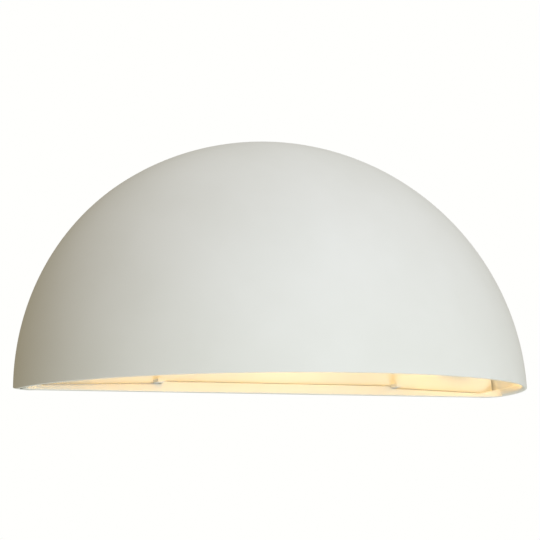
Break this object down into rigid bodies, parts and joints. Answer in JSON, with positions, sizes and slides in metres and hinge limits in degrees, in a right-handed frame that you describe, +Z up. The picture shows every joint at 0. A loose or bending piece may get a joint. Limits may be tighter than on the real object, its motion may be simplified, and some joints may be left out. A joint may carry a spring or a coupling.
{
  "type": "wall light",
  "caption": "Half-dome wall light: a white half-ellipsoid shade, open below, on a wall plate with a screw-cap lamp lying along the wall inside it.",
  "frame": {"origin": "on the wall's face, midway between the two wall fixings", "axes": "+X along the wall to the viewer's right, +Y into the wall, so the front faces -Y, +Z up"},
  "size_m": [0.26, 0.094, 0.1215],
  "materials": {
    "white_coat": "matt powder coat",
    "zinc": "zinc plated, satin",
    "steel": "turned steel",
    "brass": "bright pressed brass",
    "rubber": "moulded, matt",
    "porcelain": "glazed porcelain",
    "nylon": "moulded natural polyamide",
    "live_insulation": "silicone insulation",
    "neutral_insulation": "silicone insulation",
    "earth_insulation": "silicone insulation",
    "cap_metal": "rolled thin sheet",
    "black_glass": "cast black glass",
    "pearl_glass": "pearl, etched inside",
    "clear_glass": "clear, drawn",
    "tungsten": "drawn wire"
  },
  "bodies": {
    "wall_unit": {"wall_plate": "white_coat", "wall_gasket": "rubber", "cable_grommet": "rubber", "holder_bracket": "zinc", "bracket_rivets": "steel", "holder_nipple": "zinc", "nipple_nut": "zinc", "holder_base": "porcelain", "holder_skirt": "porcelain", "screw_shell": "brass", "centre_contact": "brass", "terminal_block": "nylon", "terminal_tubes": "brass", "terminal_screws": "steel", "block_screw": "steel", "earth_lug": "brass", "earth_washer": "steel", "earth_screw": "steel", "live_lead": "live_insulation", "neutral_lead": "neutral_insulation", "earth_lead": "earth_insulation"},
    "shade": {"shade": "white_coat", "screw_washers": "steel"},
    "left_screw": {"left_knob": "steel", "left_retaining_ring": "steel"},
    "right_screw": {"right_knob": "steel", "right_retaining_ring": "steel"},
    "left_nut": {"left_square_nut": "zinc"},
    "right_nut": {"right_square_nut": "zinc"},
    "lamp_base": {"lamp_contact": "zinc", "lamp_insulator": "black_glass"},
    "lamp": {"lamp_cap": "cap_metal", "lamp_glass": "pearl_glass", "lamp_stem": "clear_glass", "lamp_supports": "steel", "lamp_filament": "tungsten"}
  },
  "joints": [
    {"name": "shade_off", "type": "slide", "parent": "wall_unit", "child": "shade", "axis": [0, -1, 0], "range_m": [0, 0.12]},
    {"name": "left_screw_turn", "type": "hinge", "parent": "shade", "child": "left_screw", "pos_m": [-0.104, -0.016, -0.061], "axis": [0, 0, -1], "range_deg": [0, 1080]},
    {"name": "right_screw_turn", "type": "hinge", "parent": "shade", "child": "right_screw", "pos_m": [0.104, -0.016, -0.061], "axis": [0, 0, -1], "range_deg": [0, 1080]},
    {"name": "left_nut_lift", "type": "slide", "parent": "shade", "child": "left_nut", "axis": [0, 0, 1], "range_m": [0, 0.0024]},
    {"name": "right_nut_lift", "type": "slide", "parent": "shade", "child": "right_nut", "axis": [0, 0, 1], "range_m": [0, 0.0024]},
    {"name": "lamp_out", "type": "slide", "parent": "wall_unit", "child": "lamp_base", "axis": [1, 0, 0], "range_m": [0, 0.01448]},
    {"name": "lamp_turn", "type": "hinge", "parent": "lamp_base", "child": "lamp", "pos_m": [-0.063, -0.04, -0.038], "axis": [1, 0, 0], "range_deg": [0, 1440]}
  ],
  "couplings": [
    {"joint": "left_nut_lift", "follows": "left_screw_turn", "m_per_rad": 0.00012732},
    {"joint": "right_nut_lift", "follows": "right_screw_turn", "m_per_rad": 0.00012732},
    {"joint": "lamp_out", "follows": "lamp_turn", "m_per_rad": 0.00057614}
  ]
}
